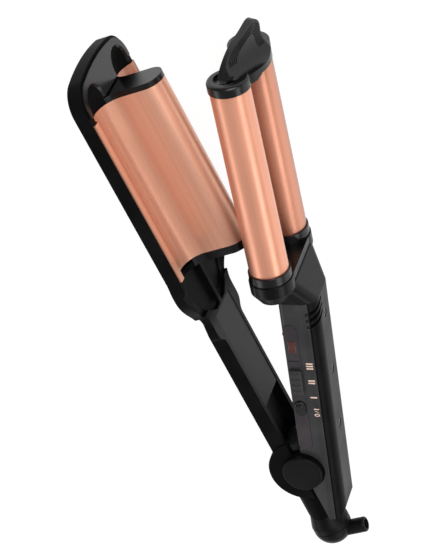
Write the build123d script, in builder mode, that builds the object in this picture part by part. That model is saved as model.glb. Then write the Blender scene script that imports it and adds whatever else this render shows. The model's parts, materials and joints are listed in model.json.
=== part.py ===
from build123d import *
import os
from math import sin, cos, tan, sqrt, radians

# Two-arm hair waver: a pair of heated barrels on one arm, an omega-shaped heated plate on the other.
# Lengths in millimetres.  X runs along the barrels to the tips, Y is the way the clamp arm opens,
# Z is the pivot axis.  Three frames share the pivot: BASE (barrels), HAN (handle), LEV (clamp arm).

# ---------------------------------------------------------------- driving dimensions
barrel_diameter = 22.0
barrel_pitch = 42.0
barrel_length = 115.0
barrel_start = 145.0
barrel_drop = 8.0
barrel_wall = 1.2
open_angle = 15.0
handle_tilt = 3.7
handle_width = 33.0
handle_depth = 21.8
handle_wall = 2.2
lever_width = 32.0
ridge_height = 24.0
plate_sheet = 1.4
shell_depth = 7.8
pivot_pin_diameter = 6.0
pivot_cap_diameter = 23.4
knuckle_radius = 16.0
tail_radius = 9.3
cord_bore = 5.8

# ---------------------------------------------------------------- fits and gaps
hair_gap = 1.0
moving_gap = 0.3
shaft_gap = 0.05
seat_gap = 0.06

# ---------------------------------------------------------------- derived dimensions
barrel_r = barrel_diameter / 2
lobe_z = barrel_pitch / 2
barrel_end = barrel_start + barrel_length
tube_seat = 1.6
valley_r = barrel_r + hair_gap
under_r = valley_r + plate_sheet
ridge_half = lobe_z - valley_r
ridge_in = ridge_half - plate_sheet
ridge_shoulder = -barrel_drop - ridge_height + ridge_half
bed_floor = under_r - barrel_drop + 0.2
flange_half = lobe_z + barrel_r + 3.0
shell_half = flange_half + 1.0
plate_start = barrel_start + 6.0
plate_end = barrel_end - 5.0
fan_end = plate_end + 24.0
arm_end = barrel_start - 33.0
handle_end = barrel_start - 27.0
handle_tail = -36.0
face_in = 1.3
face_out = face_in - handle_depth
seam_y = face_out + 5.0
side_z = handle_width / 2
cheek_in = 12.5
cheek_out = 17.0
drum_out = knuckle_radius + 4.5
drum_in = knuckle_radius + 1.0
cap_r = pivot_cap_diameter / 2
pin_r = pivot_pin_diameter / 2
lever_z = lever_width / 2
lever_face = 3.2
lever_back = 12.3
tail_y = 10.0
tail_end = -42.0
collar_end = tail_end - 11.0
cup_r = tail_radius + 2.3
cup_start = collar_end - moving_gap
stub_x = cup_start - 4.9
stub_r = cord_bore / 2 + 1.7
stub_reach = 20.5
fin_top = barrel_end + 26.2

# Where the pivot lies in the shared frame, whose origin is the middle of the underside.
reach_back = cup_start * cos(radians(open_angle)) - tail_y * sin(radians(open_angle)) - cup_r
reach_down = face_out * cos(radians(handle_tilt)) - handle_end * sin(radians(handle_tilt))
reach_up = fan_end * sin(radians(open_angle)) + shell_depth * cos(radians(open_angle))
pivot_x = -(fin_top + reach_back) / 2
pivot_y = -(reach_up + reach_down) / 2
pivot_z = shell_half

PIVOT = (pivot_x, pivot_y, pivot_z)
BASE = Plane(origin=PIVOT)
HAN = Plane(origin=PIVOT, x_dir=(cos(radians(handle_tilt)), -sin(radians(handle_tilt)), 0), z_dir=(0, 0, 1))
LEV = Plane(origin=PIVOT, x_dir=(cos(radians(open_angle)), sin(radians(open_angle)), 0), z_dir=(0, 0, 1))


def at_x(frame, x):
    """Plane across a frame at x: sketch axes are (y, z), extrusion runs to the tips."""
    return Plane(origin=frame.from_local_coords(Vector(x, 0, 0)), x_dir=frame.y_dir, z_dir=frame.x_dir)


def at_y(frame, y):
    """Plane along a frame at y: sketch axes are (x, z), extrusion runs towards -y."""
    return Plane(origin=frame.from_local_coords(Vector(0, y, 0)), x_dir=frame.x_dir, z_dir=-frame.y_dir)


def at_z(frame, z):
    """Plane square to the pivot axis at height z: sketch axes are (x, y)."""
    return Plane(origin=frame.from_local_coords(Vector(0, 0, z)), x_dir=frame.x_dir, z_dir=frame.z_dir)


def block(frame, x0, x1, y0, y1, z0, z1, mode=Mode.ADD):
    """Rectangular block between the given limits of a frame."""
    with BuildSketch(at_z(frame, z0)) as flat:
        with Locations(((x0 + x1) / 2, (y0 + y1) / 2)):
            Rectangle(x1 - x0, y1 - y0)
    extrude(flat.sketch, amount=z1 - z0, mode=mode)


def rod_x(frame, x0, x1, y, z, radius, mode=Mode.ADD):
    """Cylinder along x."""
    with BuildSketch(at_x(frame, x0)) as flat:
        with Locations((y, z)):
            Circle(radius)
    extrude(flat.sketch, amount=x1 - x0, mode=mode)


def rod_y(frame, y0, y1, x, z, radius, mode=Mode.ADD):
    """Cylinder along y, from the higher y1 down to y0."""
    with BuildSketch(at_y(frame, y1)) as flat:
        with Locations((x, z)):
            Circle(radius)
    extrude(flat.sketch, amount=y1 - y0, mode=mode)


def rod_z(frame, x, y, z0, z1, radius, mode=Mode.ADD):
    """Cylinder along the pivot axis."""
    with BuildSketch(at_z(frame, z0)) as flat:
        with Locations((x, y)):
            Circle(radius)
    extrude(flat.sketch, amount=z1 - z0, mode=mode)


def handle_section(inset):
    """Handle cross-section: nearly square on the inner side, well rounded on the outer side."""
    with BuildSketch() as shape:
        with Locations(((face_in + face_out) / 2, 0)):
            Rectangle(handle_depth - 2 * inset, handle_width - 2 * inset)
        fillet(shape.vertices().group_by(Axis.X)[0], 9.0 - inset)
        fillet(shape.vertices().group_by(Axis.X)[-1], 2.6 - inset / 2)
    return shape.sketch


def handle_side_view():
    """Side view of the handle: straight, its tail sloped to follow the open clamp arm."""
    drop = tan(radians(open_angle + handle_tilt))
    with BuildSketch() as shape:
        with BuildLine():
            Polyline(
                (handle_end, face_in),
                (4.0, face_in),
                (0.4, 0.3),
                (handle_tail, handle_tail * drop + 0.2),
                (handle_tail, face_out + 3.0),
                (handle_tail + 4.0, face_out),
                (handle_end, face_out),
                close=True,
            )
        make_face()
        fillet(shape.vertices().group_by(Axis.Y)[0].sort_by(Axis.X)[0], 3.0)
    return shape.sketch


def handle_body():
    """Outer form shared by the two handle shells."""
    with BuildPart() as body:
        with BuildSketch(at_x(HAN, handle_tail - 1)):
            add(handle_section(0))
        extrude(amount=handle_end - handle_tail + 1)
        with BuildSketch(at_z(HAN, -side_z - 1)):
            add(handle_side_view())
        extrude(amount=handle_width + 2, mode=Mode.INTERSECT)
    return body.part


def vent_slots():
    """Three slanted cooling slots that wrap round the outer corner of the handle."""
    with BuildPart() as slots:
        for slot in range(3):
            with BuildSketch(at_y(HAN, face_out + 7.0)):
                with Locations(Location((handle_end - 4.5 - 4.3 * slot, side_z - 6.0), 25.0)):
                    SlotOverall(13.5, 2.1, rotation=90)
            extrude(amount=10.0)
    return slots.part


screw_spots = [24.0, handle_end * 0.53, handle_end - 16.0]
strip_y = -3.7
strip_half = 4.0
strip_start = 16.0
strip_end = handle_end - 14.0
slider_x = 65.0
slider_length = 17.0
slider_travel = 4.5
button_x = 46.0
lens_x = 89.0
board_z = 9.0
board_top = 10.6

# ================================================================ barrel arm
with BuildPart() as handle_inner_shell:
    add(handle_body())
    # hollow
    with BuildSketch(at_x(HAN, knuckle_radius + 2.5)):
        add(handle_section(handle_wall))
    extrude(amount=handle_end - knuckle_radius - 2.5 - 3.0, mode=Mode.SUBTRACT)
    # only the side away from the back cover
    block(HAN, handle_tail - 5, handle_end + 5, face_out - 5, seam_y, -side_z - 5, side_z + 5, Mode.SUBTRACT)
    # screw bosses
    for spot in screw_spots:
        rod_y(HAN, seam_y, face_in - 1.0, spot, 0, 3.4)
    # posts for the circuit board
    for spot in (31.0, 97.0):
        for level in (-11.6, 0.6):
            rod_z(HAN, spot, level - 0.9, board_top, side_z - 1.0, 1.6)
    # knuckle round the pivot pin
    rod_z(HAN, 0, 0, -12.0, 12.0, knuckle_radius)
    for side in (-1, 1):
        with BuildSketch(at_z(HAN, side * 12.2)):
            Circle(cap_r + 1.1)
        extrude(amount=side * 8, mode=Mode.SUBTRACT)
    rod_z(HAN, 0, 0, -20, 20, pin_r + shaft_gap, Mode.SUBTRACT)
    # spring chamber, open towards the back cover
    rod_z(HAN, 0, 0, -8.0, 8.0, 8.6, Mode.SUBTRACT)
    block(HAN, -8.6, 8.6, seam_y - 2, 0, -8.0, 8.0, Mode.SUBTRACT)
    for spot in screw_spots:
        rod_y(HAN, seam_y - 1, face_in - 3.5, spot, 0, 1.25, Mode.SUBTRACT)
    # recess for the control strip and its openings
    with BuildSketch(at_z(HAN, side_z - 0.8)) as strip_recess:
        with Locations(((strip_start + strip_end) / 2, strip_y)):
            SlotOverall(strip_end - strip_start, 2 * strip_half)
    extrude(amount=2, mode=Mode.SUBTRACT)
    block(HAN, slider_x - 8.1, slider_x + 8.1, strip_y - 1.8, strip_y + 1.8, board_top, side_z, Mode.SUBTRACT)
    with BuildSketch(at_z(HAN, board_top)):
        with Locations((button_x, strip_y)):
            SlotOverall(10.0 + 2 * moving_gap, 6.2 + 2 * moving_gap)
    extrude(amount=10, mode=Mode.SUBTRACT)
    block(HAN, lens_x - 4.1, lens_x + 4.1, strip_y - 2.2, strip_y + 2.2, board_top, side_z, Mode.SUBTRACT)
    # pockets for the scale marks
    for step in range(3):
        for bar in range(step + 1):
            centre = slider_x - 11.0 + 11.0 * step + 1.7 * (bar - step / 2)
            block(HAN, centre - 0.45, centre + 0.45, -14.2, -10.4, side_z - 0.4, side_z + 1, Mode.SUBTRACT)
    add(vent_slots(), mode=Mode.SUBTRACT)
handle_inner_shell.part.label = "handle_inner_shell"

with BuildPart() as handle_outer_shell:
    add(handle_body())
    block(HAN, handle_tail - 5, handle_end + 5, seam_y, face_in + 5, -side_z - 5, side_z + 5, Mode.SUBTRACT)
    with BuildSketch(at_x(HAN, handle_tail + 8.0)):
        add(handle_section(handle_wall))
    extrude(amount=handle_end - handle_tail - 11.0, mode=Mode.SUBTRACT)
    for spot in screw_spots:
        rod_y(HAN, face_out + 0.4, seam_y, spot, 0, 4.2)
        rod_y(HAN, face_out - 1, face_out + 2.0, spot, 0, 2.6, Mode.SUBTRACT)
        rod_y(HAN, face_out - 1, seam_y + 1, spot, 0, 1.25, Mode.SUBTRACT)
    rod_z(HAN, 0, 0, -12.3, 12.3, knuckle_radius + moving_gap, Mode.SUBTRACT)
    add(vent_slots(), mode=Mode.SUBTRACT)
handle_outer_shell.part.label = "handle_outer_shell"

with BuildPart() as handle_screws:
    for spot in screw_spots:
        rod_y(HAN, face_out + 0.4, face_out + 2.0, spot, 0, 2.6)
        rod_y(HAN, face_out + 2.0, face_in - 8.0, spot, 0, 1.25)
        block(HAN, spot - 0.4, spot + 0.4, face_out + 0.3, face_out + 1.0, -1.8, 1.8, Mode.SUBTRACT)
        block(HAN, spot - 1.8, spot + 1.8, face_out + 0.3, face_out + 1.0, -0.4, 0.4, Mode.SUBTRACT)
handle_screws.part.label = "handle_screws"

socket_top = barrel_start - 5.5
socket_r = barrel_r + 1.5
tube_start = socket_top - 7.0
with BuildPart() as barrel_socket_collar:
    with BuildSketch(at_x(HAN, handle_end)):
        add(handle_section(0))
    with BuildSketch(at_x(BASE, socket_top - 5.0)):
        with Locations((-barrel_drop - 1.5, 0)):
            RectangleRounded(22.0, 2 * lobe_z + 12.0, 9.0)
    loft()
    # sockets with tapered bottoms
    for side in (-1, 1):
        rod_x(BASE, socket_top - 7.0, socket_top, -barrel_drop, side * lobe_z, socket_r)
        with BuildSketch(at_x(BASE, socket_top - 7.0)):
            with Locations((-barrel_drop, side * lobe_z)):
                Circle(socket_r)
        extrude(amount=-6.0, taper=32)
    # web between the sockets
    block(BASE, socket_top - 5.0, socket_top, -barrel_drop - 12.0, -barrel_drop + 7.0, -lobe_z, lobe_z)
    # hollow inside the taper
    with BuildSketch(at_x(HAN, handle_end)):
        add(handle_section(handle_wall + 0.6))
    with BuildSketch(at_x(BASE, socket_top - 9.0)):
        with Locations((-barrel_drop - 1.5, 0)):
            RectangleRounded(16.0, 2 * lobe_z, 7.0)
    loft(mode=Mode.SUBTRACT)
    for side in (-1, 1):
        rod_x(BASE, tube_start, socket_top + 1, -barrel_drop, side * lobe_z, barrel_r, Mode.SUBTRACT)
        rod_x(BASE, socket_top - 10.5, socket_top, -barrel_drop, side * lobe_z, barrel_r - 3.0, Mode.SUBTRACT)
barrel_socket_collar.part.label = "barrel_socket_collar"

with BuildPart() as barrel_socket_rings:
    for side in (-1, 1):
        with BuildSketch(at_x(BASE, socket_top)):
            with Locations((-barrel_drop, side * lobe_z)):
                Circle(barrel_r + 0.9)
                Circle(barrel_r, mode=Mode.SUBTRACT)
        extrude(amount=barrel_start - socket_top)
barrel_socket_rings.part.label = "barrel_socket_rings"


def barrel(side):
    """One heated tube, long enough to be held at both ends."""
    with BuildPart() as tube:
        rod_x(BASE, tube_start, barrel_end + tube_seat, -barrel_drop, side * lobe_z, barrel_r)
        rod_x(BASE, tube_start - 1, barrel_end + 5.0, -barrel_drop, side * lobe_z, barrel_r - barrel_wall, Mode.SUBTRACT)
    return tube.part


with BuildPart() as heating_barrel_near:
    add(barrel(1))
heating_barrel_near.part.label = "heating_barrel_near"

with BuildPart() as heating_barrel_far:
    add(barrel(-1))
heating_barrel_far.part.label = "heating_barrel_far"

with BuildPart() as barrel_heater_bars:
    for side in (-1, 1):
        level = side * lobe_z
        block(BASE, barrel_start + 2, barrel_end - 6, -barrel_drop - 5.5, -barrel_drop + 5.5, level - 1.5, level + 1.5)
barrel_heater_bars.part.label = "barrel_heater_bars"

with BuildPart() as barrel_heat_spreaders:
    for side in (-1, 1):
        level = side * lobe_z
        rod_x(BASE, barrel_start + 4, barrel_end - 8, -barrel_drop, level, barrel_r - barrel_wall - seat_gap)
        block(BASE, barrel_start, barrel_end, -barrel_drop - 20, -barrel_drop + 20, level - 1.5, level + 1.5, Mode.SUBTRACT)
barrel_heat_spreaders.part.label = "barrel_heat_spreaders"

# ---------------------------------------------------------------- cool tip of the barrel arm
hood_y = 3.3
hood_r = lobe_z + 8.0
hood_out = hood_y - hood_r
lobe_r = barrel_r + 0.6
lobe_top = barrel_end + 4.5
skirt_top = barrel_end + 4.5
skirt_low = barrel_end - 1.5
blade_turn = 29.0
bowl_turn = 26.0
blade_low = barrel_end + 9.0
side_wall = 2.2
groove_pitch = 1.35
groove_width = 0.65
groove_depth = 0.7


def turned(y, turn):
    """Frame for the thumb blade, turned about x from the outer side towards +z."""
    return Plane(
        origin=BASE.from_local_coords(Vector(0, y, 0)),
        x_dir=BASE.x_dir,
        z_dir=Vector(0, -cos(radians(turn)), sin(radians(turn))),
    )


def leaf(inset):
    """Arched outline of the blade in its turned plane, shrunk towards a point near its foot."""
    shrink = 1 - inset / (fin_top - blade_low)
    outline = [
        (barrel_end - 1.0, 28.5),
        (barrel_end + 11.3, 21.5),
        (fin_top - 7.0, 12.0),
        (fin_top - 2.6, 3.4),
        (fin_top, -3.0),
        (fin_top - 4.0, -7.0),
        (fin_top - 9.5, -7.8),
        (barrel_end + 10.0, -9.5),
        (skirt_top - 1.5, -10.6),
    ]
    with BuildSketch() as shape:
        with BuildLine():
            edge = Spline(*[(blade_low + (x - blade_low) * shrink, 3.0 + (w - 3.0) * shrink) for x, w in outline])
            Line(edge @ 1, edge @ 0)
        make_face()
    return shape.sketch


BLADE = turned(hood_out + 9.9, blade_turn)
BOWL = turned(0, bowl_turn)


def thumb_bowl():
    """Hollow for the thumb: a trough that runs along the turned frame."""
    with BuildPart() as bowl:
        with BuildSketch(Plane(origin=BOWL.origin, x_dir=BOWL.x_dir, z_dir=BOWL.y_dir)):
            with BuildLine():
                bottom = Spline(
                    (fin_top + 1.5, hood_out + 6.7),
                    (fin_top - 3.0, hood_out + 7.5),
                    (fin_top - 8.0, hood_out + 8.5),
                    (fin_top - 14.0, hood_out + 9.1),
                    (fin_top - 18.0, hood_out + 7.9),
                    (skirt_top + 0.5, hood_out + 4.4),
                    (skirt_top, hood_out - 3.0),
                )
                Polyline(bottom @ 1, (skirt_top, hood_out - 20.0), (fin_top + 1.5, hood_out - 20.0), bottom @ 0)
            make_face()
        extrude(amount=50.0, both=True)
    return bowl.part


def grip_grooves():
    """Rings that follow the arched edge, kept only just below the surface of the hollow."""
    with BuildPart() as grooves:
        add(thumb_bowl().moved(Location(BOWL.z_dir * -groove_depth)))
        with BuildSketch(BLADE):
            for groove in range(5):
                inset = 1.6 + groove_pitch * groove
                add(leaf(inset))
                add(leaf(inset + groove_width), mode=Mode.SUBTRACT)
            with Locations((blade_low - 21.0, 0)):
                Rectangle(42.0, 100.0, mode=Mode.SUBTRACT)
        extrude(amount=40.0, mode=Mode.INTERSECT)
    return grooves.part


def blade_body():
    """Body between the band and the edge of the blade, before it is hollowed."""
    with BuildPart() as body:
        with BuildSketch(at_x(BASE, barrel_end)):
            with Locations((hood_y, 0)):
                Circle(hood_r)
        extrude(amount=40.0)
        with BuildSketch(BLADE):
            add(leaf(0))
        extrude(amount=30.0, mode=Mode.INTERSECT)
    return body.part


def bowl_side_wall():
    """Wall that closes the hollow on the near side, its top edge sloping down to the band."""
    with BuildPart() as wall:
        add(blade_body())
        with BuildSketch(BLADE):
            add(leaf(0))
            add(leaf(side_wall), mode=Mode.SUBTRACT)
            with Locations((blade_low, 33.0)):
                Rectangle(80.0, 50.0, mode=Mode.INTERSECT)
        extrude(amount=30.0, mode=Mode.INTERSECT)
        with BuildSketch(Plane(origin=BLADE.origin, x_dir=BLADE.x_dir, z_dir=-BLADE.y_dir)):
            with BuildLine():
                Polyline(
                    (skirt_low, 0),
                    (barrel_end + 11.0, 0),
                    (barrel_end + 11.0, 3.0),
                    (skirt_top, 12.5),
                    (skirt_low, 12.5),
                    close=True,
                )
            make_face()
        extrude(amount=50.0, both=True, mode=Mode.INTERSECT)
    return wall.part


def barrel_dome(side, top):
    """Sleeve and low cap over the end of one barrel; the near one is dished on top."""
    with BuildPart() as dome:
        rod_x(BASE, skirt_low, top, -barrel_drop, side * lobe_z, lobe_r)
        fillet(dome.edges().filter_by(GeomType.CIRCLE).sort_by(Axis.X)[-1], (top - barrel_end) * 0.4)
        if side > 0:
            rod_x(BASE, top - 1.8, top + 9.0, 0.5 - barrel_drop, side * lobe_z, 7.2, Mode.SUBTRACT)
    return dome.part


with BuildPart() as barrel_tip_cap:
    # band round the outer side
    with BuildSketch(at_x(BASE, skirt_low)):
        with Locations((hood_y, 0)):
            Circle(hood_r)
        with Locations((hood_y - 7.0 + 40.0, 0)):
            Rectangle(80.0, 100.0, mode=Mode.SUBTRACT)
    extrude(amount=skirt_top - skirt_low)
    add(blade_body())
    add(thumb_bowl(), mode=Mode.SUBTRACT)
    add(grip_grooves(), mode=Mode.SUBTRACT)
    add(bowl_side_wall())
    add(barrel_dome(1, lobe_top))
    add(barrel_dome(-1, barrel_end + 2.6))
    block(BASE, barrel_end, barrel_end + 4.5, -barrel_drop - 6, -barrel_drop + 5, -lobe_z + 4, lobe_z)
    for side in (-1, 1):
        rod_x(BASE, skirt_low - 1, barrel_end + tube_seat, -barrel_drop, side * lobe_z, barrel_r + seat_gap, Mode.SUBTRACT)
    # recess under the web, where the tip of the ridge swings past
    block(BASE, skirt_low - 1, barrel_end + 2.0, hood_out + 4.0, 20, -ridge_half - 1, ridge_half + 1, Mode.SUBTRACT)
    with BuildSketch(at_y(BASE, 0)):
        with BuildLine():
            Polyline(
                (skirt_low - 1, -ridge_half - 8.0),
                (barrel_end + 0.6, -ridge_half - 1.0),
                (barrel_end + 0.6, ridge_half + 1.0),
                (skirt_low - 1, ridge_half + 8.0),
                close=True,
            )
        make_face()
    extrude(amount=40.0, mode=Mode.SUBTRACT)
barrel_tip_cap.part.label = "barrel_tip_cap"

# ---------------------------------------------------------------- controls in the handle
with BuildPart() as control_strip:
    with BuildSketch(at_z(HAN, side_z - 0.8)):
        with Locations(((strip_start + strip_end) / 2, strip_y)):
            SlotOverall(strip_end - strip_start, 2 * strip_half)
        with Locations((button_x, strip_y)):
            SlotOverall(10.0 + 2 * moving_gap, 6.2 + 2 * moving_gap, mode=Mode.SUBTRACT)
        with Locations((slider_x, strip_y)):
            Rectangle(16.2, 3.6, mode=Mode.SUBTRACT)
        with Locations((lens_x, strip_y)):
            Rectangle(8.2, 4.4, mode=Mode.SUBTRACT)
    extrude(amount=1.1)
    # fine line above the slider
    block(HAN, slider_x + 14.0, slider_x + 14.8, strip_y - 3.4, strip_y + 3.4, side_z - 0.1, side_z + 1, Mode.SUBTRACT)
control_strip.part.label = "control_strip"

with BuildPart() as power_lens:
    block(HAN, lens_x - 4.1, lens_x + 4.1, strip_y - 2.2, strip_y + 2.2, board_top, side_z + 0.6)
    fillet(power_lens.faces().sort_by(Axis.Z)[-1].edges(), 0.4)
power_lens.part.label = "power_lens"

with BuildPart() as heat_scale_marks:
    for step in range(3):
        for bar in range(step + 1):
            centre = slider_x - 11.0 + 11.0 * step + 1.7 * (bar - step / 2)
            block(HAN, centre - 0.45, centre + 0.45, -14.2, -10.4, side_z - 0.4, side_z + 0.1)
heat_scale_marks.part.label = "heat_scale_marks"

with BuildPart() as circuit_board:
    block(HAN, 29.0, 99.0, -14.6, -0.9, board_z, board_top)
circuit_board.part.label = "circuit_board"

with BuildPart() as slide_switch_body:
    block(HAN, slider_x - 9.5, slider_x + 9.5, strip_y - 3.6, strip_y + 2.0, board_top, side_z - handle_wall - 0.8)
    block(HAN, slider_x - 7.9, slider_x + 7.9, strip_y - 1.8, strip_y + 1.8, board_top + 0.6, side_z, Mode.SUBTRACT)
slide_switch_body.part.label = "slide_switch_body"

with BuildPart() as power_switch_body:
    block(HAN, button_x - 3.0, button_x + 3.0, strip_y - 3.0, strip_y + 2.4, board_top, board_top + 1.4)
power_switch_body.part.label = "power_switch_body"

with BuildPart() as thermal_fuse:
    rod_x(HAN, 76.0, 86.0, -11.5, board_z - 2.0, 2.0)
thermal_fuse.part.label = "thermal_fuse"

with BuildPart() as heat_slider:
    low = slider_x - slider_length / 2
    with BuildSketch(at_z(HAN, side_z + 0.3 + moving_gap)):
        with Locations((slider_x, strip_y)):
            RectangleRounded(slider_length, 7.2, 1.2)
    extrude(amount=1.9)
    chamfer(heat_slider.faces().sort_by(Axis.Z)[-1].edges(), 0.5)
    for row in range(4):
        for column in (-1, 1):
            with BuildSketch(at_z(HAN, side_z + 0.3 + moving_gap + 1.9)):
                with Locations((low + 2.6 + 3.95 * row, strip_y + 1.55 * column)):
                    Circle(1.1)
            extrude(amount=0.5)
    block(HAN, slider_x - 3.0, slider_x + 3.0, strip_y - 1.4, strip_y + 1.4, board_top + 1.0, side_z + 0.7)
heat_slider.part.label = "heat_slider"

with BuildPart() as power_button:
    with BuildSketch(at_z(HAN, side_z - handle_wall - moving_gap)):
        with Locations((button_x, strip_y)):
            SlotOverall(10.0, 6.2)
    extrude(amount=handle_wall + moving_gap + 1.1)
    with BuildSketch(at_z(HAN, side_z - handle_wall - moving_gap - 0.8)):
        with Locations((button_x, strip_y - 1.2)):
            SlotOverall(11.8, 6.4)
    extrude(amount=0.8)
    with BuildSketch(at_z(HAN, side_z + 0.5)):
        with Locations((button_x + 1.0, strip_y)):
            SlotOverall(7.2, 4.4)
        with Locations((button_x - 1.4, strip_y)):
            SlotOverall(7.2, 4.6, mode=Mode.SUBTRACT)
    extrude(amount=1, mode=Mode.SUBTRACT)
power_button.part.label = "power_button"

# ================================================================ clamp arm


def clamp_outline():
    """Plan of the clamp arm: narrow arm, flared neck, parallel plate bed, fan-shaped tip."""
    neck = arm_end - 18.0
    bed = plate_start - 5.0
    flare = [(neck, lever_z), (neck + 7.0, lever_z + 4.0), (arm_end + 3.0, lever_z + 5.6)]
    flare += [(bed - 22.0, shell_half - 9.0), (bed - 12.0, shell_half - 2.4), (bed, shell_half)]
    with BuildSketch() as shape:
        with BuildLine():
            Line((10.0, -lever_z), (neck, -lever_z))
            Spline(*[(x, -z) for x, z in flare], tangents=[(1, 0), (1, 0)])
            Line((bed, -shell_half), (fan_end - 5.0, -shell_half))
            ThreePointArc((fan_end - 5.0, -shell_half), (fan_end, 0), (fan_end - 5.0, shell_half))
            Line((fan_end - 5.0, shell_half), (bed, shell_half))
            Spline(*flare[::-1], tangents=[(-1, 0), (-1, 0)])
            Line((neck, lever_z), (10.0, lever_z))
            Line((10.0, lever_z), (10.0, -lever_z))
        make_face()
        fillet(shape.vertices().group_by(Axis.X)[-1], 15.0)
    return shape.sketch


def tip_recess(side):
    """Round-ended recess that takes one dome of the tip cap when the arms close."""
    recess_r = lobe_r + 0.8
    round_end = lobe_top - 3.5
    rod_x(LEV, plate_end - 9.0, round_end, -barrel_drop, side * lobe_z, recess_r, Mode.SUBTRACT)
    with Locations(LEV.from_local_coords(Vector(round_end, -barrel_drop, side * lobe_z))):
        Sphere(recess_r, mode=Mode.SUBTRACT)


with BuildPart() as clamp_shell:
    with BuildSketch(at_y(LEV, 16.0)):
        add(clamp_outline())
    extrude(amount=20.0)
    with BuildSketch(at_z(LEV, -shell_half - 1)) as profile:
        with BuildLine():
            Polyline(
                (10.0, lever_face),
                (socket_top + 1.0, lever_face),
                (plate_start - 7.0, 0),
                (fan_end + 1, 0),
                (fan_end + 1, shell_depth),
                (plate_start, shell_depth),
                (arm_end - 10.0, lever_back),
                (10.0, lever_back),
                close=True,
            )
        make_face()
    extrude(amount=2 * shell_half + 2, mode=Mode.INTERSECT)
    # back of the flared neck, cut in to the width of the arm
    for side in (-1, 1):
        with BuildSketch(at_y(LEV, lever_back + 5.0)):
            with BuildLine():
                Polyline(
                    (arm_end - 19.0, side * lever_z),
                    (arm_end + 3.0, side * lever_z),
                    (arm_end + 13.0, side * (shell_half + 1)),
                    (arm_end - 19.0, side * (shell_half + 1)),
                    close=True,
                )
            make_face()
        extrude(amount=lever_back - lever_face, mode=Mode.SUBTRACT)
    # round drum at the pivot with its two cheeks
    for side in (-1, 1):
        with BuildSketch(at_z(LEV, side * cheek_in)):
            Circle(drum_out)
            with Locations((0, 2.0 - 50)):
                Rectangle(200, 100, mode=Mode.SUBTRACT)
            Circle(cap_r + 0.5)
        extrude(amount=side * (cheek_out - cheek_in))
    with BuildSketch(at_z(LEV, -cheek_in)):
        Circle(drum_out)
        Circle(drum_in, mode=Mode.SUBTRACT)
        with Locations((0, 2.0 - 50)):
            Rectangle(200, 100, mode=Mode.SUBTRACT)
    extrude(amount=2 * cheek_in)
    # tail neck
    rod_x(LEV, tail_end, -10.0, tail_y, 0, tail_radius)
    # clear the knuckle
    rod_z(LEV, 0, 0, -cheek_in, cheek_in, drum_in, Mode.SUBTRACT)
    # channel along the arm, open near the pivot and panelled beyond
    block(LEV, 8.0, arm_end - 6.0, -1, lever_back - 2.5, -10.5, 10.5, Mode.SUBTRACT)
    block(LEV, 8.0, 46.0, -1, lever_back - 2.5, -cheek_in, cheek_in, Mode.SUBTRACT)
    block(LEV, 46.0, arm_end, -1, lever_face + 2.0, -13.2, 13.2, Mode.SUBTRACT)
    # wiring bore through the tail
    rod_x(LEV, tail_end - 1, -8.0, tail_y, 0, 7.5, Mode.SUBTRACT)
    rod_z(LEV, 0, 0, -30, 30, pin_r, Mode.SUBTRACT)
    # bed for the plate
    block(LEV, plate_start - 2.5, plate_end + 0.3, -1, bed_floor, -flange_half + 2.8, flange_half - 2.8, Mode.SUBTRACT)
    for spot in (plate_start + 12.0, plate_end - 12.0):
        rod_y(LEV, shell_depth - 5.0, shell_depth + 5.0, spot, 0, 1.25, Mode.SUBTRACT)
        rod_y(LEV, shell_depth - 1.2, shell_depth + 5.0, spot, 0, 2.6, Mode.SUBTRACT)
    # half-round recesses that take the sockets and the tip domes when the arms close
    for side in (-1, 1):
        rod_x(LEV, arm_end + 8.0, plate_start, -barrel_drop, side * lobe_z, socket_r + 0.8, Mode.SUBTRACT)
        tip_recess(side)
    # scooped end of the bed, divided by a rib
    for side in (-1, 1):
        with BuildSketch(at_y(LEV, shell_depth - 1.8)) as scoop:
            with BuildLine():
                Polyline(
                    (plate_start - 5.6, side * 1.6),
                    (plate_start - 5.6, side * (shell_half - 5.0)),
                    (arm_end + 19.0, side * (shell_half - 11.5)),
                    (arm_end + 6.0, side * 15.5),
                    (arm_end + 1.6, side * 8.0),
                    (arm_end + 1.6, side * 1.6),
                    close=True,
                )
            make_face()
            fillet(scoop.vertices().group_by(Axis.X)[0].sort_by(Axis.Y)[-1 if side > 0 else 0], 3.0)
        extrude(amount=20, mode=Mode.SUBTRACT)
clamp_shell.part.label = "clamp_shell"

with BuildPart() as lever_panel:
    block(LEV, 46.0, arm_end, lever_face + 0.4, lever_face + 2.0, -13.2, 13.2)
lever_panel.part.label = "lever_panel"

with BuildPart() as tip_liner:
    with BuildSketch(at_y(LEV, 0)) as liner_plan:
        add(clamp_outline())
        with Locations((plate_end + 2.5 - 200, 0)):
            Rectangle(400, 200, mode=Mode.SUBTRACT)
        offset(amount=-1.6, mode=Mode.REPLACE)
    extrude(amount=1.4)
    for side in (-1, 1):
        tip_recess(side)
tip_liner.part.label = "tip_liner"


def omega(radius, half, shoulder, edge, rim):
    """Points of one side of the omega section, from the flange to the middle of the ridge."""
    top = sqrt(radius**2 - (rim + barrel_drop) ** 2)
    return [
        (rim, edge),
        (rim, lobe_z + top),
        (-barrel_drop + radius * sin(radians(60)), lobe_z + radius * cos(radians(60))),
        (-barrel_drop + radius * sin(radians(60)), lobe_z - radius * cos(radians(60))),
        (-barrel_drop, half),
        (shoulder, half),
        (shoulder - half, 0),
    ]


def omega_half_line(points, side):
    """Draw one side of the omega section."""
    flange, start, crest, dip, root, shoulder, top = [(y, side * z) for y, z in points]
    bottom = (-barrel_drop + (crest[0] + barrel_drop) / sin(radians(60)), side * lobe_z)
    Line(flange, start)
    ThreePointArc(start, bottom, root)
    Line(root, shoulder)
    half = points[5][1]
    ThreePointArc(shoulder, (shoulder[0] - half * cos(radians(45)), side * half * sin(radians(45))), top)


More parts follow.
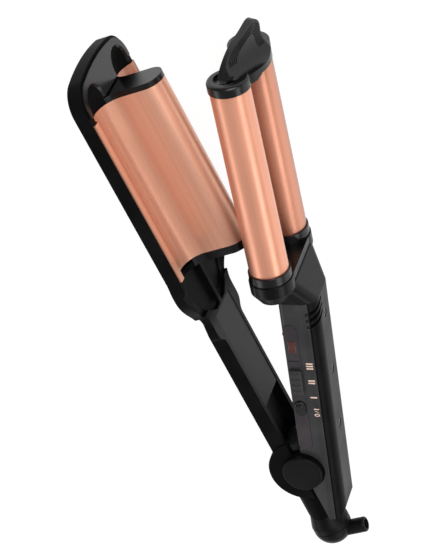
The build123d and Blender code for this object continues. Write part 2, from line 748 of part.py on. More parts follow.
with BuildPart() as wave_plate:
    outer = omega(valley_r, ridge_half, ridge_shoulder, flange_half, -plate_sheet)
    inner = omega(under_r, ridge_in, ridge_shoulder, flange_half, 0.0)
    with BuildSketch(at_x(LEV, plate_start)):
        with BuildLine():
            omega_half_line(outer, 1)
            omega_half_line(outer, -1)
            omega_half_line(inner, 1)
            omega_half_line(inner, -1)
            for side in (-1, 1):
                Line((-plate_sheet, side * flange_half), (0, side * flange_half))
        make_face()
    extrude(amount=plate_end - plate_start)
wave_plate.part.label = "wave_plate"


def ridge_cap_face():
    """End outline of the ridge above the bed."""
    foot = lobe_z - sqrt(valley_r**2 - barrel_drop**2)
    turn = radians(25)
    mid = (-barrel_drop + valley_r * sin(turn), lobe_z - valley_r * cos(turn))
    with BuildSketch() as shape:
        with BuildLine():
            Line((0, -foot), (0, foot))
            for side in (-1, 1):
                ThreePointArc((0, side * foot), (mid[0], side * mid[1]), (-barrel_drop, side * ridge_half))
                Line((-barrel_drop, side * ridge_half), (ridge_shoulder, side * ridge_half))
            ThreePointArc((ridge_shoulder, -ridge_half), (ridge_shoulder - ridge_half, 0), (ridge_shoulder, ridge_half))
        make_face()
    return shape.sketch


with BuildPart() as ridge_tip_cap:
    with BuildSketch(at_x(LEV, plate_end)):
        add(ridge_cap_face())
    extrude(amount=3.3)
ridge_tip_cap.part.label = "ridge_tip_cap"

with BuildPart() as ridge_base_cap:
    with BuildSketch(at_x(LEV, plate_start - 5.0)):
        add(ridge_cap_face())
    extrude(amount=5.0)
ridge_base_cap.part.label = "ridge_base_cap"

with BuildPart() as plate_carrier:
    block(LEV, plate_start + 2, plate_end - 2, -4.0, bed_floor, -7.0, 7.0)
    for spot in (plate_start + 12.0, plate_end - 12.0):
        rod_y(LEV, -3.0, shell_depth, spot, 0, 1.25, Mode.SUBTRACT)
plate_carrier.part.label = "plate_carrier"

with BuildPart() as plate_heat_spreaders:
    for side in (-1, 1):
        low, high = sorted((side * 1.5, side * ridge_in))
        block(LEV, plate_start + 8, plate_end - 8, ridge_shoulder, -4.0, low, high)
plate_heat_spreaders.part.label = "plate_heat_spreaders"

with BuildPart() as plate_heater_bar:
    block(LEV, plate_start + 12, plate_end - 12, ridge_shoulder + 2, -4.0, -1.5, 1.5)
plate_heater_bar.part.label = "plate_heater_bar"

with BuildPart() as plate_screws:
    for spot in (plate_start + 12.0, plate_end - 12.0):
        rod_y(LEV, 0.5, shell_depth - 1.0, spot, 0, 1.25)
        rod_y(LEV, shell_depth - 1.2, shell_depth - 0.2, spot, 0, 2.6)
        block(LEV, spot - 0.4, spot + 0.4, shell_depth - 0.9, shell_depth, -1.8, 1.8, Mode.SUBTRACT)
        block(LEV, spot - 1.8, spot + 1.8, shell_depth - 0.9, shell_depth, -0.4, 0.4, Mode.SUBTRACT)
plate_screws.part.label = "plate_screws"

with BuildPart() as pivot_pin:
    rod_z(LEV, 0, 0, -cheek_out - 1.5, cheek_out + 1.5, pin_r)
pivot_pin.part.label = "pivot_pin"


def pivot_cap(side):
    """Round cover over one end of the pivot pin."""
    with BuildPart() as cap:
        with BuildSketch(at_z(LEV, side * cheek_out)):
            Circle(cap_r)
        extrude(amount=side * 3.3)
        fillet(cap.edges().sort_by(Axis.Z)[-1 if side > 0 else 0], 0.9)
        with BuildSketch(at_z(LEV, side * cheek_out)):
            Circle(pin_r)
        extrude(amount=side * 1.5, mode=Mode.SUBTRACT)
    return cap.part


with BuildPart() as pivot_cap_near:
    add(pivot_cap(1))
pivot_cap_near.part.label = "pivot_cap_near"

with BuildPart() as pivot_cap_far:
    add(pivot_cap(-1))
pivot_cap_far.part.label = "pivot_cap_far"

# ---------------------------------------------------------------- tail and cord swivel
with BuildPart() as tail_collar:
    with BuildSketch(at_x(LEV, tail_end)):
        with Locations((tail_y, 0)):
            Circle(tail_radius)
    with BuildSketch(at_x(LEV, tail_end - 7.5)):
        with Locations((tail_y, 0)):
            Circle(cup_r)
    loft()
    rod_x(LEV, collar_end, tail_end - 7.5, tail_y, 0, cup_r)
    rod_x(LEV, collar_end - 1, tail_end + 1, tail_y, 0, 5.0 + moving_gap, Mode.SUBTRACT)
tail_collar.part.label = "tail_collar"

with BuildPart() as cord_swivel_cup:
    with BuildSketch(at_z(LEV, 0)):
        with BuildLine():
            Line((cup_start - cup_r, tail_y), (cup_start, tail_y))
            Line((cup_start, tail_y), (cup_start, tail_y + cup_r))
            ThreePointArc(
                (cup_start, tail_y + cup_r),
                (cup_start - cup_r * sin(radians(45)), tail_y + cup_r * cos(radians(45))),
                (cup_start - cup_r, tail_y),
            )
        make_face()
    revolve(axis=Axis(LEV.from_local_coords(Vector(0, tail_y, 0)), LEV.x_dir))
    rod_x(LEV, cup_start - 2, tail_end + 3.5, tail_y, 0, 5.0)
    rod_x(LEV, tail_end + 0.3, tail_end + 1.8, tail_y, 0, 5.2, Mode.SUBTRACT)
    rod_x(LEV, tail_end + 0.3, tail_end + 1.8, tail_y, 0, 4.3)
    rod_y(LEV, tail_y - stub_reach - 1, tail_y, stub_x, 0, stub_r + seat_gap / 2, Mode.SUBTRACT)
    rod_x(LEV, stub_x, tail_end + 10, tail_y, 0, 3.0, Mode.SUBTRACT)
cord_swivel_cup.part.label = "cord_swivel_cup"

with BuildPart() as cord_gland:
    rod_y(LEV, tail_y - stub_reach, tail_y, stub_x, 0, stub_r)
    fillet(cord_gland.edges().filter_by(GeomType.CIRCLE).sort_by(Axis.Y)[0], 1.2)
    rod_y(LEV, tail_y - stub_reach - 1, tail_y + 1, stub_x, 0, cord_bore / 2, Mode.SUBTRACT)
    rod_x(LEV, stub_x, tail_end + 10, tail_y, 0, 3.0, Mode.SUBTRACT)
cord_gland.part.label = "cord_gland"

with BuildPart() as swivel_retainer:
    with BuildSketch(at_x(LEV, tail_end + 0.3)):
        with Locations((tail_y, 0)):
            Circle(7.0)
            Circle(4.3, mode=Mode.SUBTRACT)
    extrude(amount=1.5)
swivel_retainer.part.label = "swivel_retainer"

# ---------------------------------------------------------------- spring in the knuckle
spring_pitch = 2.3
spring_height = 16.0 - 1.6
with BuildPart() as return_spring:
    with BuildLine(at_z(HAN, -8.0 + 0.8)):
        coil = Helix(pitch=spring_pitch, height=spring_height, radius=6.0)
    with BuildSketch(Plane(origin=coil @ 0, x_dir=HAN.z_dir, z_dir=coil % 0)):
        Rectangle(1.4, 1.2)
    sweep(is_frenet=True)
return_spring.part.label = "return_spring"

# ================================================================ files
pieces = [
    handle_inner_shell, handle_outer_shell, handle_screws, barrel_socket_collar, barrel_socket_rings,
    heating_barrel_near, heating_barrel_far, barrel_heater_bars, barrel_heat_spreaders, barrel_tip_cap,
    control_strip, power_lens, heat_scale_marks, circuit_board, slide_switch_body, power_switch_body,
    thermal_fuse, heat_slider, power_button, clamp_shell, lever_panel, tip_liner, wave_plate,
    ridge_tip_cap, ridge_base_cap, plate_carrier, plate_heat_spreaders, plate_heater_bar, plate_screws,
    pivot_pin, pivot_cap_near, pivot_cap_far, tail_collar, cord_swivel_cup, cord_gland, swivel_retainer,
    return_spring,
]
os.makedirs("parts", exist_ok=True)
for piece in pieces:
    export_step(piece.part, "parts/" + piece.part.label + ".step")
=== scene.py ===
import json
import math

import bmesh
import bpy
from bpy.props import FloatProperty, FloatVectorProperty, PointerProperty
from mathutils import Euler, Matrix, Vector


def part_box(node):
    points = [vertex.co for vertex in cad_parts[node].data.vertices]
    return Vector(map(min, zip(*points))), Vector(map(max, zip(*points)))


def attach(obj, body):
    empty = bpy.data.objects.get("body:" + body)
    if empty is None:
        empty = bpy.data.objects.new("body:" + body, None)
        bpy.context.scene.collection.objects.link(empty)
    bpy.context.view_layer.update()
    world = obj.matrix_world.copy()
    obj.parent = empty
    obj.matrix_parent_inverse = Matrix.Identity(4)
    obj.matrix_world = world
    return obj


bl_info = {
    "name": "Hair waver looks",
    "version": (1, 0, 0),
    "blender": (4, 5, 0),
    "location": "3D View > Sidebar > Waver",
    "description": "Finishes, printed marks, studio and camera for a two-arm hair waver",
    "category": "Object",
}

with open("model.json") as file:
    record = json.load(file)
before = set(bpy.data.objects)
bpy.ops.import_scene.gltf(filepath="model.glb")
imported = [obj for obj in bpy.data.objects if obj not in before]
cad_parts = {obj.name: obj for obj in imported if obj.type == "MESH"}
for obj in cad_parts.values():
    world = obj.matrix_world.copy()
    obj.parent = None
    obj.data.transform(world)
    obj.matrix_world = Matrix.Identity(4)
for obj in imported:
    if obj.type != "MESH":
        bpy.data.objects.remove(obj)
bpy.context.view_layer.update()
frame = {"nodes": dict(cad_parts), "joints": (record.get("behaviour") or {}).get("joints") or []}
nodes = frame["nodes"]

# Directions that meet at the pivot, as angles from the barrels.
OPEN_ANGLE = math.radians(15.0)
HANDLE_TILT = math.radians(-3.7)
ARM_FORWARD = (math.cos(OPEN_ANGLE), math.sin(OPEN_ANGLE), 0.0)
ARM_INWARD = (math.sin(OPEN_ANGLE), -math.cos(OPEN_ANGLE), 0.0)
HANDLE_ACROSS = (-math.sin(HANDLE_TILT), math.cos(HANDLE_TILT), 0.0)
joints = {joint["name"]: joint for joint in frame["joints"]}
PIVOT = Vector(joints["clamp_hinge"]["pos_m"])

# Distances from the pivot, in metres.
SEAM = -0.0155
SEAM_EDGES = (0.00012, 0.0004)
# Painted light on the clamp arm's side to the handle: it fades out to painted shade towards the pivot over
# the first pair, and stops at the neck over the second.
ARM_PIVOT_SHADE = (0.018, 0.075)
ARM_NECK = (0.118, 0.108)

# The sign beside the button, in millimetres: its middle in the handle's own frame, and its outlines.
SIGN_ALONG, SIGN_ACROSS, SIGN_LEVEL = 43.4, -13.0, 16.52
SIGN_BAR = ((1.9, -1.5), (2.6, -1.5), (2.6, 1.5), (1.9, 1.5))
SIGN_SLASH = ((-0.4, -1.2), (0.05, -1.2), (1.35, 1.2), (0.9, 1.2))
SIGN_RING_ALONG = -1.9
SIGN_RING_RADII = ((1.05, 1.6), (0.5, 1.0))
SIGN_RING_POINTS = 20

# The studio, in metres: each lamp's name, the setting of its power, its size and its place.
LAMPS = [
    ("soft_light", "key", (1.1, 1.1), (0.6, -0.7, 1.2)),
    ("right_strip", "fill", (1.2, 0.4), (-0.65, -0.84, 0.56)),
    ("left_strip", "rim", (1.2, 0.4), (-0.65, 0.74, 0.68)),
]
LAMP_TARGET = Vector((0.0, 0.0, 0.036))
FLOOR_LEVEL = -0.0006
FLOOR_HALF = 6.0

METAL_CREASE = 40.0
BARRELS = ["heating_barrel_near", "heating_barrel_far"]
CAPS = ["barrel_tip_cap", "ridge_tip_cap", "ridge_base_cap", "barrel_socket_rings", "tip_liner"]
PIVOT_AND_TAIL = ["pivot_cap_near", "pivot_cap_far", "tail_collar", "cord_swivel_cup", "cord_gland"]
GLOSSY = ["control_strip", "slide_switch_body", "power_switch_body"]
STEEL = ["handle_screws", "plate_screws", "pivot_pin", "swivel_retainer", "return_spring"]
BARE = ["barrel_heat_spreaders", "plate_heat_spreaders", "thermal_fuse"]
FIRED = ["barrel_heater_bars", "plate_heater_bar", "plate_carrier"]


# ---------------------------------------------------------------- shader arithmetic
class Signal:
    """A shader socket; arithmetic on it adds the nodes that work it out."""

    def __init__(self, tree, socket=None):
        self.tree = tree
        self.socket = socket

    def make(self, kind, settings=None, inputs=None, output=0):
        """Add one node: its settings first, then the values or links of its sockets."""
        node = self.tree.nodes.new(kind)
        for name, value in (settings or {}).items():
            setattr(node, name, value)
        for name, value in (inputs or {}).items():
            if isinstance(value, Signal):
                self.tree.links.new(value.socket, node.inputs[name])
            else:
                node.inputs[name].default_value = value
        return Signal(self.tree, node.outputs[output]) if node.outputs else None

    def _maths(self, operation, first, second):
        return self.make("ShaderNodeMath", {"operation": operation}, {0: first, 1: second})

    def __add__(self, other):
        return self._maths("ADD", self, other)

    __radd__ = __add__

    def __mul__(self, other):
        return self._maths("MULTIPLY", self, other)

    __rmul__ = __mul__

    def __sub__(self, other):
        return self._maths("SUBTRACT", self, other)

    def __rsub__(self, other):
        return self._maths("SUBTRACT", other, self)

    def blend(self, first, second):
        """Colour mix, with this signal as the factor."""
        return self.make("ShaderNodeMix", {"data_type": "RGBA"}, {0: self, 6: first, 7: second}, 2)

    def limit(self, low, high, start=0.0, end=1.0):
        """Rescale from low..high to start..end and stay inside."""
        scaled = {"From Min": low, "From Max": high, "To Min": start, "To Max": end, "Value": self}
        return self.make("ShaderNodeMapRange", {"clamp": True}, scaled)


def new_finish(name):
    """Empty material and the signal that starts its nodes."""
    material = bpy.data.materials.new(name)
    material.use_nodes = True
    material.node_tree.nodes.clear()
    return material, Signal(material.node_tree)


def close_finish(net, shader):
    net.make("ShaderNodeOutputMaterial", inputs={"Surface": shader})


def wear(names, finish, crease=32.0):
    """Give a finish to CAD nodes and smooth their shading up to the given crease in degrees."""
    for name in names:
        mesh = nodes[name].data
        mesh.materials.clear()
        mesh.materials.append(finish)
        mesh.shade_smooth()
        mesh.set_sharp_from_angle(angle=math.radians(crease))


def opaque(colour, share=1.0):
    """Colour with an alpha of 1, scaled by the given share."""
    return (*[c * share for c in colour], 1)


def own_place(net):
    """Position over the object itself, in metres."""
    return net.make("ShaderNodeTexCoord", output="Object")


def stretch(net, place, turn, scale):
    """Place turned about the Z axis and scaled along its own directions."""
    turned = net.make("ShaderNodeVectorRotate", {"rotation_type": "Z_AXIS"}, {"Vector": place, "Angle": turn})
    return net.make("ShaderNodeVectorMath", {"operation": "MULTIPLY"}, {0: turned, 1: scale})


def cloud(net, place, scale, detail=3.0, roughness=0.55):
    values = {"Vector": place, "Scale": scale, "Detail": detail, "Roughness": roughness}
    return net.make("ShaderNodeTexNoise", inputs=values)


def dot(net, first, second):
    return net.make("ShaderNodeVectorMath", {"operation": "DOT_PRODUCT"}, {0: first, 1: second}, "Value")


def from_pivot(net, place, direction):
    """Distance from the pivot along a direction."""
    offset = net.make("ShaderNodeVectorMath", {"operation": "SUBTRACT"}, {0: place, 1: PIVOT})
    return dot(net, offset, direction)


# ---------------------------------------------------------------- sizes and colours a user may change
class RoseMetalSettings(bpy.types.PropertyGroup):
    colour: FloatVectorProperty(
        name="Colour", description="Base colour of the rose gold coating",
        subtype="COLOR", size=3, min=0, max=1, default=(0.87, 0.39, 0.255),
    )
    plate_colour: FloatVectorProperty(
        name="Plate colour", description="Base colour of the same coating on the wave plate",
        subtype="COLOR", size=3, min=0, max=1, default=(0.90, 0.46, 0.315),
    )
    dusk: FloatVectorProperty(
        name="Streak tint", description="Tint over the base colour in the drawn streaks",
        subtype="COLOR", size=3, min=0, max=1, default=(0.94, 0.91, 0.87),
    )
    # Painted shade: the coating darkens to this colour where ambient occlusion finds nearby faces, in hollows
    # and between the barrels.
    painted_hollow_shade: FloatVectorProperty(
        name="Hollow colour", description="Tone where two metal faces close in on each other",
        subtype="COLOR", size=3, min=0, max=1, default=(0.17, 0.035, 0.01),
    )
    roughness: FloatProperty(
        name="Roughness", description="How soft reflections are",
        subtype="FACTOR", min=0, max=1, default=0.3,
    )
    metallic: FloatProperty(
        name="Metallic", description="How metallic the coating is",
        subtype="FACTOR", min=0, max=1, default=0.56,
    )
    plate_metallic: FloatProperty(
        name="Plate metallic", description="How metallic the coating on the wave plate is",
        subtype="FACTOR", min=0, max=1, default=0.46,
    )


class BlackPlasticSettings(bpy.types.PropertyGroup):
    clamp_colour: FloatVectorProperty(
        name="Black", description="Colour of the deep black clamp arm, collar, caps and discs",
        subtype="COLOR", size=3, min=0, max=1, default=(0.003, 0.003, 0.0034),
    )
    panel_colour: FloatVectorProperty(
        name="Panel colour", description="Colour of the inset arm panel, the slider and the handle",
        subtype="COLOR", size=3, min=0, max=1, default=(0.026, 0.026, 0.027),
    )
    # Painted light: the clamp arm's side to the handle is painted this lighter colour, fading to the deep
    # black towards the pivot, and its back gets a third of it.
    arm_painted_light_colour: FloatVectorProperty(
        name="Arm face colour", description="Colour of the clamp arm's side that looks at the handle",
        subtype="COLOR", size=3, min=0, max=1, default=(0.05, 0.05, 0.051),
    )
    roughness: FloatProperty(
        name="Roughness", description="How soft reflections are",
        subtype="FACTOR", min=0, max=1, default=0.29,
    )
    grain: FloatProperty(
        name="Grain", description="Height of the moulded grain",
        subtype="DISTANCE", min=0, default=0.00006,
    )
    edge: FloatProperty(
        name="Edge softness", description="Radius that catches light along edges",
        subtype="DISTANCE", min=0, default=0.0005,
    )


class ControlSettings(bpy.types.PropertyGroup):
    strip_colour: FloatVectorProperty(
        name="Strip colour", description="Colour of the glossy control strip",
        subtype="COLOR", size=3, min=0, max=1, default=(0.026, 0.021, 0.026),
    )
    lens_colour: FloatVectorProperty(
        name="Lens colour", description="Colour of the power lens",
        subtype="COLOR", size=3, min=0, max=1, default=(0.15, 0.035, 0.024),
    )
    mark_colour: FloatVectorProperty(
        name="Mark colour", description="Colour of the printed scale marks",
        subtype="COLOR", size=3, min=0, max=1, default=(0.86, 0.62, 0.52),
    )


class StudioSettings(bpy.types.PropertyGroup):
    lens: FloatProperty(
        name="Lens", description="Focal length of the camera in millimetres",
        unit="CAMERA", min=1, default=156.45,
    )
    place: FloatVectorProperty(
        name="Camera place", description="Where the camera stands",
        subtype="TRANSLATION", unit="LENGTH", size=3, default=(0.73356, -0.42324, 1.07805),
    )
    turn: FloatVectorProperty(
        name="Camera turn", description="How the camera is turned",
        subtype="EULER", unit="ROTATION", size=3, default=(-0.6312328, 0.2585297, -1.7712800),
    )
    key: FloatProperty(
        name="Soft light", description="Power of the large soft light in watts",
        unit="POWER", min=0, default=16.0,
    )
    fill: FloatProperty(
        name="Right strip", description="Power of the right strip light in watts",
        unit="POWER", min=0, default=3.4,
    )
    rim: FloatProperty(
        name="Left strip", description="Power of the left strip light in watts",
        unit="POWER", min=0, default=2.7,
    )
    ambient: FloatProperty(
        name="Ambient", description="Strength of the even surrounding light", min=0, default=0.32,
    )


# ---------------------------------------------------------------- finishes
def rose_metal(name, settings, base, metallic, turn, reach):
    """Satin rose gold coating over drawn metal, with faint streaks along the arm it sits on, and painted
    shade in its hollows.
    """
    material, net = new_finish(name)
    place = own_place(net)
    drawn = stretch(net, place, -turn, (2.5, 260.0, 260.0))
    streak = cloud(net, drawn, 1.6, 4.0, 0.6)
    smear = cloud(net, place, 28.0, 2.0)
    tone = streak.limit(0.42, 0.6)
    dusky = [c * tint for c, tint in zip(base, settings.dusk)]
    drawn_tone = tone.blend(opaque(base), opaque(dusky))
    # Painted shade: ambient occlusion within reach metres blends the colour towards the painted hollow shade.
    shade_openness = net.make("ShaderNodeAmbientOcclusion", {"samples": 8}, {"Distance": reach}, "AO")
    colour = shade_openness.limit(0.4, 0.95).blend(opaque(settings.painted_hollow_shade), drawn_tone)
    rough = settings.roughness + streak * 0.05 + smear.limit(0.45, 0.75) * 0.06
    bump = net.make("ShaderNodeBump", inputs={"Height": streak, "Distance": 0.00002, "Strength": 0.35})
    shader = net.make("ShaderNodeBsdfPrincipled", inputs={
        "Base Color": colour, "Metallic": metallic, "Roughness": rough, "Normal": bump,
        "Coat Weight": 0.25, "Coat Roughness": 0.12,
    })
    close_finish(net, shader)
    return material


def parting_line(net, place, level):
    """0 on the thin line where the two handle shells meet, 1 elsewhere."""
    height = from_pivot(net, place, HANDLE_ACROSS)
    away = net.make("ShaderNodeMath", {"operation": "ABSOLUTE"}, {0: height - level})
    return away.limit(*SEAM_EDGES)


def arm_painted_light_masks(net, place):
    """Two masks of painted light on the clamp arm: its side to the handle, fading out to painted shade at the
    pivot, and its back.
    """
    along = from_pivot(net, place, ARM_FORWARD)
    facing = dot(net, net.make("ShaderNodeTexCoord", output="Normal"), ARM_INWARD)
    inner = facing.limit(0.7, 0.95) * along.limit(*ARM_PIVOT_SHADE) * along.limit(*ARM_NECK)
    return inner, facing.limit(-0.5, -0.95)


def moulded(name, settings, colour, roughness, grain_scale=2600.0, coat=0.0, shine=0.35,
            seam=None, face=None):
    """Moulded plastic: fine grain, slow sheen changes and edges that catch the light.

    seam draws the shells' parting line at that level, and face paints light on the clamp arm's two sides:
    lighter on the side to the handle, fading to painted shade at the pivot, and a little lighter on the back.
    """
    material, net = new_finish(name)
    place = own_place(net)
    grain = cloud(net, place, grain_scale, 2.0)
    sheen = cloud(net, place, 55.0, 3.0)
    soft = net.make("ShaderNodeBevel", {"samples": 4}, {"Radius": settings.edge})
    lighter = [min(1.0, c * 1.35 + 0.002) for c in colour]
    tint = sheen.limit(0.4, 0.7).blend(opaque(colour), opaque(lighter))
    rough = roughness + sheen.limit(0.35, 0.7) * 0.08
    if face is not None:
        # Painted light: the side to the handle takes the lighter arm colour, the back a third of it; near the
        # pivot this fades to painted shade.
        inner, back = arm_painted_light_masks(net, place)
        tint = inner.blend(tint, opaque(face))
        tint = back.blend(tint, opaque(face, 0.3))
    if seam is not None:
        line = parting_line(net, place, seam)
        groove = {"Height": line, "Distance": 0.0006, "Strength": 1.0, "Normal": soft}
        soft = net.make("ShaderNodeBump", inputs=groove)
        tint = line.blend((0.0004, 0.0004, 0.0004, 1), tint)
        rough = rough + (1 - line) * 0.6
    bump = net.make("ShaderNodeBump", inputs={
        "Height": grain, "Distance": settings.grain, "Strength": 0.5, "Normal": soft,
    })
    shader = net.make("ShaderNodeBsdfPrincipled", inputs={
        "Base Color": tint, "Roughness": rough, "Normal": bump, "Specular IOR Level": shine,
        "Coat Weight": coat, "Coat Roughness": 0.08,
    })
    close_finish(net, shader)
    return material


def plain_metal(name, colour, roughness):
    """Bare metal with fine brush lines."""
    material, net = new_finish(name)
    brushed = stretch(net, own_place(net), 0.0, (60.0, 900.0, 60.0))
    line = cloud(net, brushed, 2.0, 3.0)
    shader = net.make("ShaderNodeBsdfPrincipled", inputs={
        "Base Color": line.blend(opaque(colour), opaque(colour, 0.8)), "Metallic": 1.0,
        "Roughness": roughness + line * 0.12,
    })
    close_finish(net, shader)
    return material


def speckled(name, colour, roughness):
    """Fired or coated inner piece with a fine speckle."""
    material, net = new_finish(name)
    fleck = cloud(net, own_place(net), 900.0, 2.0).limit(0.45, 0.7)
    shader = net.make("ShaderNodeBsdfPrincipled", inputs={
        "Base Color": fleck.blend(opaque(colour), opaque(colour, 0.85)),
        "Roughness": roughness + fleck * 0.1,
    })
    close_finish(net, shader)
    return material


def lens_finish(settings):
    """Dark red lens with a painted glow in its heart."""
    material, net = new_finish("power_lens")
    low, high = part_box("power_lens")
    middle = (low + high) / 2
    place = net.make("ShaderNodeVectorMath", {"operation": "SUBTRACT"}, {0: own_place(net), 1: middle})
    reach = net.make("ShaderNodeVectorMath", {"operation": "LENGTH"}, {0: place}, "Value")
    # Painted glow: the lens colour is brighter towards its middle.
    glow = 1 - reach.limit(0.0008, 0.0042)
    colour = glow.blend(opaque(settings.lens_colour, 0.45), opaque(settings.lens_colour))
    shader = net.make("ShaderNodeBsdfPrincipled", inputs={
        "Base Color": colour, "Roughness": 0.16 + glow * 0.04, "Coat Weight": 0.6, "Coat Roughness": 0.05,
    })
    close_finish(net, shader)
    return material


def printed(settings):
    """Pale pad print with slightly uneven ink."""
    material, net = new_finish("pad_print")
    ink = cloud(net, own_place(net), 1500.0, 2.0).limit(0.3, 0.6)
    shader = net.make("ShaderNodeBsdfPrincipled", inputs={
        "Base Color": ink.blend(opaque(settings.mark_colour, 0.8), opaque(settings.mark_colour)),
        "Roughness": 0.5 + ink * 0.05,
    })
    close_finish(net, shader)
    return material


# ---------------------------------------------------------------- mesh helpers
def handle_point(x, y, z):
    """Point of the handle's own frame, in millimetres from the pivot, in the shared frame."""
    turned = Vector((x * math.cos(HANDLE_TILT) - y * math.sin(HANDLE_TILT),
                     x * math.sin(HANDLE_TILT) + y * math.cos(HANDLE_TILT), z))
    return PIVOT + turned / 1000


def ribbon(name, loops, finish, body):
    """Flat printed shapes from closed outlines given as (outer, inner or None) point lists."""
    mesh = bpy.data.meshes.new(name)
    bm = bmesh.new()
    for outer, inner in loops:
        outside = [bm.verts.new(p) for p in outer]
        if inner is None:
            bm.faces.new(outside)
            continue
        inside = [bm.verts.new(p) for p in inner]
        for i in range(len(outside)):
            j = (i + 1) % len(outside)
            bm.faces.new((outside[i], outside[j], inside[j], inside[i]))
    bmesh.ops.recalc_face_normals(bm, faces=bm.faces)
    for face in bm.faces:
        if face.normal.z < 0:
            face.normal_flip()
    bm.to_mesh(mesh)
    bm.free()
    piece = bpy.data.objects.new(name, mesh)
    bpy.context.scene.collection.objects.link(piece)
    mesh.materials.append(finish)
    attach(piece, body)
    return piece


# ---------------------------------------------------------------- operators
class WAVER_OT_rose_metal(bpy.types.Operator):
    """Finish the two heated barrels and the wave plate in rose gold"""

    bl_idname = "waver.rose_metal"
    bl_label = "Barrels and wave plate"

    def execute(self, context):
        rose = context.scene.waver_rose
        tone, plate_tone = tuple(rose.colour), tuple(rose.plate_colour)
        # The last number is how far the painted hollow shade reaches, in metres.
        barrel = rose_metal("rose_barrel", rose, tone, rose.metallic, 0.0, 0.045)
        plate = rose_metal("rose_plate", rose, plate_tone, rose.plate_metallic, OPEN_ANGLE, 0.02)
        wear(BARRELS, barrel, METAL_CREASE)
        wear(["wave_plate"], plate, METAL_CREASE)
        return {"FINISHED"}


class WAVER_OT_housings(bpy.types.Operator):
    """Finish the handle shells, the socket collar and the clamp arm"""

    bl_idname = "waver.housings"
    bl_label = "Handle and clamp arm"

    def execute(self, context):
        black = context.scene.waver_black
        deep, panel = tuple(black.clamp_colour), tuple(black.panel_colour)
        face, rough = tuple(black.arm_painted_light_colour), black.roughness
        wear(["handle_inner_shell"], moulded("black_housing", black, panel, rough, seam=SEAM))
        wear(["handle_outer_shell"], moulded("black_back", black, deep, rough, shine=0.05, seam=SEAM))
        wear(["barrel_socket_collar"], moulded("black_collar", black, deep, rough - 0.05, shine=0.16))
        # The clamp arm's sides get painted light: lighter towards the handle and on the back, with painted
        # shade towards the pivot.
        wear(["clamp_shell"], moulded("black_clamp", black, deep, rough + 0.14, shine=0.035, face=face))
        wear(["lever_panel"], moulded("arm_panel", black, panel, rough + 0.24, grain_scale=1700.0))
        return {"FINISHED"}


class WAVER_OT_caps(bpy.types.Operator):
    """Finish the tip cap, the ridge caps, the socket rings, the pivot discs and the tail"""

    bl_idname = "waver.caps"
    bl_label = "Caps, pivot and tail"

    def execute(self, context):
        black = context.scene.waver_black
        deep, rough = tuple(black.clamp_colour), black.roughness
        wear(CAPS, moulded("black_cap", black, deep, rough - 0.07, shine=0.42))
        wear(PIVOT_AND_TAIL, moulded("black_disc", black, deep, rough + 0.08, shine=0.12))
        return {"FINISHED"}


class WAVER_OT_controls(bpy.types.Operator):
    """Finish the control strip, the slider, the button, the lens and the printed marks"""

    bl_idname = "waver.controls"
    bl_label = "Controls"

    def execute(self, context):
        black, controls = context.scene.waver_black, context.scene.waver_controls
        strip, deep = tuple(controls.strip_colour), tuple(black.clamp_colour)
        wear(GLOSSY, moulded("gloss_strip", black, strip, 0.18, grain_scale=3000.0, coat=0.5))
        wear(["heat_slider"], moulded("slider_key", black, tuple(black.panel_colour), 0.42))
        wear(["power_button"], moulded("button_key", black, deep, 0.18, shine=0.7))
        wear(["power_lens"], lens_finish(controls))
        ink = printed(controls)
        wear(["heat_scale_marks"], ink)
        self.off_mark(ink)
        return {"FINISHED"}

    def off_mark(self, ink):
        """The generic on and off sign beside the button: a bar, a slash and a ring."""

        def outline(points):
            return [handle_point(SIGN_ALONG + x, SIGN_ACROSS + y, SIGN_LEVEL) for x, y in points]

        turns = [math.tau * k / SIGN_RING_POINTS for k in range(SIGN_RING_POINTS)]
        outer, inner = [
            outline([(SIGN_RING_ALONG + along * math.cos(turn), across * math.sin(turn)) for turn in turns])
            for along, across in SIGN_RING_RADII
        ]
        loops = [(outline(SIGN_BAR), None), (outline(SIGN_SLASH), None), (outer, inner)]
        ribbon("off_mark", loops, ink, "barrel_arm")


class WAVER_OT_inner_pieces(bpy.types.Operator):
    """Finish the steel, the bare aluminium, the fired bars and the board"""

    bl_idname = "waver.inner_pieces"
    bl_label = "Screws, pin, spring and inner pieces"

    def execute(self, context):
        wear(STEEL, plain_metal("plain_steel", (0.42, 0.42, 0.44), 0.3))
        wear(BARE, plain_metal("bare_aluminium", (0.62, 0.62, 0.64), 0.38))
        wear(FIRED, speckled("fired_bar", (0.72, 0.70, 0.64), 0.6))
        wear(["circuit_board"], speckled("coated_board", (0.006, 0.014, 0.009), 0.5))
        return {"FINISHED"}


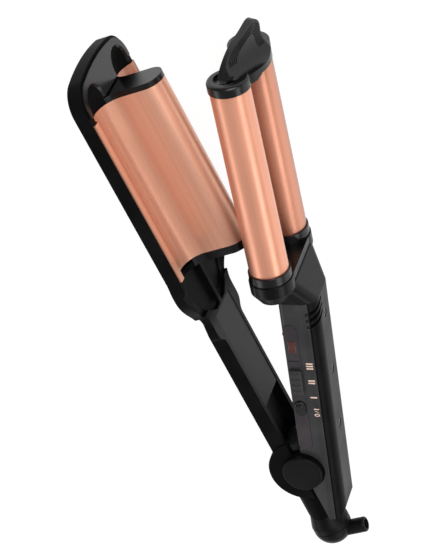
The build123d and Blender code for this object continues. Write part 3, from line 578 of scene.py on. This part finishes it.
class WAVER_OT_studio(bpy.types.Operator):
    """Lay the floor, hang the lights and set the camera"""

    bl_idname = "waver.studio"
    bl_label = "Floor, lights and camera"

    def execute(self, context):
        studio = context.scene.waver_studio
        self.floor(context)
        self.world(context, studio)
        for name, power, size, place in LAMPS:
            self.lamp(context, name, getattr(studio, power), size, place)
        self.camera(context, studio)
        context.scene.view_settings.view_transform = "Standard"
        return {"FINISHED"}

    def seen(self, net):
        """1 where the camera, a mirror or glass looks at the surface."""
        path = net.make("ShaderNodeLightPath", output="Is Camera Ray")
        node = path.socket.node
        seen = path + Signal(net.tree, node.outputs["Is Glossy Ray"])
        return (seen + Signal(net.tree, node.outputs["Is Transmission Ray"])).limit(0.0, 1.0)

    def floor(self, context):
        """A wide pale floor that keeps the shadow and reads as white where it is seen."""
        mesh = bpy.data.meshes.new("floor")
        signs = ((-1, -1), (1, -1), (1, 1), (-1, 1))
        corners = [(x * FLOOR_HALF, y * FLOOR_HALF, FLOOR_LEVEL) for x, y in signs]
        mesh.from_pydata(corners, [], [(0, 1, 2, 3)])
        floor = bpy.data.objects.new("floor", mesh)
        context.scene.collection.objects.link(floor)
        material, net = new_finish("pale_floor")
        matt = net.make("ShaderNodeBsdfDiffuse", inputs={"Color": (0.8, 0.8, 0.8, 1)})
        pale = net.make("ShaderNodeBsdfDiffuse", inputs={"Color": (0.14, 0.14, 0.14, 1)})
        lift = net.make("ShaderNodeEmission", inputs={"Color": (1, 1, 1, 1), "Strength": 0.94})
        bright = net.make("ShaderNodeAddShader", inputs={0: pale, 1: lift})
        close_finish(net, net.make("ShaderNodeMixShader", inputs={0: self.seen(net), 1: matt, 2: bright}))
        mesh.materials.append(material)

    def world(self, context, studio):
        """Even light all round, white where the camera looks past the floor."""
        world = bpy.data.worlds.new("studio")
        world.use_nodes = True
        world.node_tree.nodes.clear()
        net = Signal(world.node_tree)
        even = net.make("ShaderNodeBackground", inputs={"Color": (1, 1, 1, 1), "Strength": studio.ambient})
        white = net.make("ShaderNodeBackground", inputs={"Color": (1, 1, 1, 1), "Strength": 1.0})
        path = net.make("ShaderNodeLightPath", output="Is Camera Ray")
        mixed = net.make("ShaderNodeMixShader", inputs={0: path, 1: even, 2: white})
        net.make("ShaderNodeOutputWorld", inputs={"Surface": mixed})
        context.scene.world = world

    def lamp(self, context, name, power, size, place):
        """A rectangular light that faces the middle of the object."""
        data = bpy.data.lights.new(name, "AREA")
        data.shape = "RECTANGLE"
        data.size, data.size_y = size
        data.energy = power
        lamp = bpy.data.objects.new(name, data)
        lamp.location = place
        lamp.rotation_euler = (LAMP_TARGET - Vector(place)).to_track_quat("-Z", "Y").to_euler()
        context.scene.collection.objects.link(lamp)

    def camera(self, context, studio):
        data = bpy.data.cameras.new("camera")
        data.lens = studio.lens
        data.clip_start = 0.01
        camera = bpy.data.objects.new("camera", data)
        camera.location = studio.place
        camera.rotation_euler = Euler(studio.turn)
        context.scene.collection.objects.link(camera)
        context.scene.camera = camera


class WAVER_PT_panel(bpy.types.Panel):
    """Lists the waver's pieces and its studio"""

    bl_label = "Hair waver"
    bl_idname = "WAVER_PT_panel"
    bl_space_type = "VIEW_3D"
    bl_region_type = "UI"
    bl_category = "Waver"

    def draw(self, context):
        for group in SETTINGS:
            settings = getattr(context.scene, group)
            box = self.layout.box()
            for name in settings.__annotations__:
                box.prop(settings, name)
        for operator in OPERATORS:
            self.layout.operator(operator.bl_idname)


SETTINGS = {
    "waver_rose": RoseMetalSettings,
    "waver_black": BlackPlasticSettings,
    "waver_controls": ControlSettings,
    "waver_studio": StudioSettings,
}
OPERATORS = [
    WAVER_OT_rose_metal,
    WAVER_OT_housings,
    WAVER_OT_caps,
    WAVER_OT_controls,
    WAVER_OT_inner_pieces,
    WAVER_OT_studio,
]


def register():
    for name, group in SETTINGS.items():
        bpy.utils.register_class(group)
        setattr(bpy.types.Scene, name, PointerProperty(type=group))
    for item in (*OPERATORS, WAVER_PT_panel):
        bpy.utils.register_class(item)


def unregister():
    for item in (WAVER_PT_panel, *reversed(OPERATORS)):
        bpy.utils.unregister_class(item)
    for name, group in SETTINGS.items():
        delattr(bpy.types.Scene, name)
        bpy.utils.unregister_class(group)


def main():
    register()
    bpy.ops.waver.rose_metal()
    bpy.ops.waver.housings()
    bpy.ops.waver.caps()
    bpy.ops.waver.controls()
    bpy.ops.waver.inner_pieces()
    bpy.ops.waver.studio()


if __name__ == "__main__":
    main()
